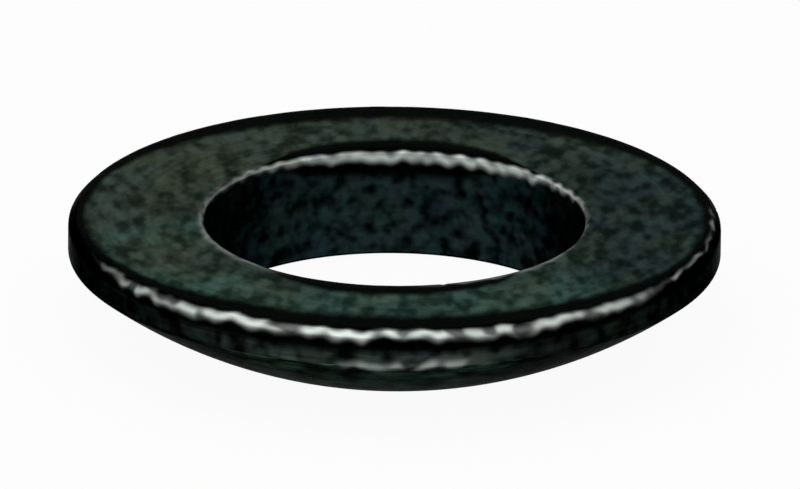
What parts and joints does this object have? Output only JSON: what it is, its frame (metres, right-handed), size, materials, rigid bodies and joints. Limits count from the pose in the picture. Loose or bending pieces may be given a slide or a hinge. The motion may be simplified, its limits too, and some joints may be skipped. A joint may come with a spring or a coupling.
{
  "type": "spherical washer",
  "caption": "Turned steel ring with a flat upper face, a convex spherical lower face and a plain bore, which lets a nut seat evenly on a bolt that leans.",
  "frame": {"origin": "middle of the ball face's lower edge, on the bore axis, where the ring stands", "axes": "+Z along the bore, from the ball face towards the flat face; the ring is round, so X and Y are free"},
  "size_m": [0.036, 0.036, 0.0062],
  "materials": {
    "blackened_steel": "satin"
  },
  "bodies": {
    "root": {"spherical_washer": "blackened_steel"}
  },
  "joints": []
}
